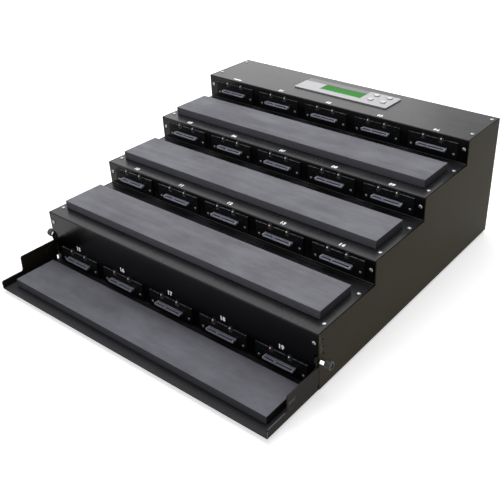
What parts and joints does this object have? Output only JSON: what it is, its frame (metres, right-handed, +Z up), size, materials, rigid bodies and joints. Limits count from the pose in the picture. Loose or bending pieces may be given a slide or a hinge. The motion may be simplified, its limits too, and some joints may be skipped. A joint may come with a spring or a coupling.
{
  "type": "hard drive duplicator",
  "caption": "Stepped sheet-metal drive duplicator with rows of open drive ports above foam rests, a control panel on the top deck and a fold-up front tray.",
  "frame": {"origin": "on the ground under the middle of the overall outline, midway between the tip of the open tray and the rear-most screw heads", "axes": "+X to the right seen from the front, +Y towards the back panel, +Z up"},
  "size_m": [0.4684, 0.5052, 0.1792],
  "materials": {
    "case_sheet": "fine black powder coat, satin",
    "foam": "dense grey foam sheet, matt",
    "connector": "moulded, satin",
    "circuit_board": "dark solder mask, satin",
    "screw": "bright zinc",
    "lamp_red": "clear tinted",
    "lamp_green": "clear tinted",
    "black_plastic": "moulded, satin",
    "panel": "fine satin anodised",
    "display": "lit green window, gloss",
    "button": "light grey, satin",
    "rubber": "matt",
    "bright_metal": "bright plated",
    "galvanised": "plain zinc-coated sheet",
    "grey_aluminium": "extruded, plain",
    "ribbon": "flat grey cable",
    "lead": "sleeved cable"
  },
  "bodies": {
    "case": {"back_panel": "case_sheet", "backplanes": "circuit_board", "base_pan": "case_sheet", "board_screws": "screw", "board_standoffs": "screw", "controller_board": "circuit_board", "cover_screws": "screw", "data_cables": "ribbon", "display_module": "circuit_board", "display_window": "display", "drive_connectors_1": "connector", "drive_connectors_2": "connector", "drive_connectors_3": "connector", "drive_connectors_4": "connector", "fan_frames": "black_plastic", "fan_guards": "bright_metal", "fan_screws": "screw", "feet": "rubber", "foam_pad_1": "foam", "foam_pad_2": "foam", "foam_pad_3": "foam", "green_lamps": "lamp_green", "heat_sink": "grey_aluminium", "key_board": "circuit_board", "lamp_holders": "black_plastic", "panel_plate": "panel", "port_boards_1": "circuit_board", "port_boards_2": "circuit_board", "port_boards_3": "circuit_board", "port_boards_4": "circuit_board", "port_headers": "black_plastic", "port_standoffs": "screw", "power_inlet": "black_plastic", "power_leads": "lead", "red_lamps": "lamp_red", "side_panel_left": "case_sheet", "side_panel_right": "case_sheet", "supply_board": "circuit_board", "supply_case": "galvanised", "switch_frame": "black_plastic", "tier_cover_1": "case_sheet", "tier_cover_2": "case_sheet", "tier_cover_3": "case_sheet", "tier_cover_4": "case_sheet"},
    "tray": {"tray": "case_sheet", "tray_pad": "foam", "tray_ears": "case_sheet", "pivot_nuts": "screw"},
    "thumb_screw_left": {"pivot_shank_left": "bright_metal", "knob_left": "black_plastic"},
    "thumb_screw_right": {"pivot_shank_right": "bright_metal", "knob_right": "black_plastic"},
    "button_1": {"button_1": "button"},
    "button_2": {"button_2": "button"},
    "button_3": {"button_3": "button"},
    "button_4": {"button_4": "button"},
    "rocker": {"switch_rocker": "black_plastic"},
    "fan_left": {"fan_rotor_left": "black_plastic"},
    "fan_right": {"fan_rotor_right": "black_plastic"}
  },
  "joints": [
    {"name": "tray_fold", "type": "hinge", "parent": "case", "child": "tray", "pos_m": [0, -0.1617, 0.0414], "axis": [-1, 0, 0], "range_deg": [0, 90]},
    {"name": "thumb_screw_left_turn", "type": "hinge", "parent": "case", "child": "thumb_screw_left", "pos_m": [-0.22075, -0.1617, 0.0414], "axis": [-1, 0, 0], "continuous": true},
    {"name": "thumb_screw_right_turn", "type": "hinge", "parent": "case", "child": "thumb_screw_right", "pos_m": [0.22075, -0.1617, 0.0414], "axis": [1, 0, 0], "continuous": true},
    {"name": "button_1_press", "type": "slide", "parent": "case", "child": "button_1", "axis": [0, 0, -1], "range_m": [0, 0.0008], "stiffness_N_per_m": 400, "springref_m": -0.0008},
    {"name": "button_2_press", "type": "slide", "parent": "case", "child": "button_2", "axis": [0, 0, -1], "range_m": [0, 0.0008], "stiffness_N_per_m": 400, "springref_m": -0.0008},
    {"name": "button_3_press", "type": "slide", "parent": "case", "child": "button_3", "axis": [0, 0, -1], "range_m": [0, 0.0008], "stiffness_N_per_m": 400, "springref_m": -0.0008},
    {"name": "button_4_press", "type": "slide", "parent": "case", "child": "button_4", "axis": [0, 0, -1], "range_m": [0, 0.0008], "stiffness_N_per_m": 400, "springref_m": -0.0008},
    {"name": "mains_rocker_tilt", "type": "hinge", "parent": "case", "child": "rocker", "pos_m": [-0.12975, 0.2468, 0.02545], "axis": [-1, 0, 0], "range_deg": [0, 16]},
    {"name": "fan_left_spin", "type": "hinge", "parent": "case", "child": "fan_left", "pos_m": [0.04075, 0.2364, 0.112], "axis": [0, 1, 0], "continuous": true},
    {"name": "fan_right_spin", "type": "hinge", "parent": "case", "child": "fan_right", "pos_m": [0.14075, 0.2364, 0.112], "axis": [0, 1, 0], "continuous": true}
  ]
}
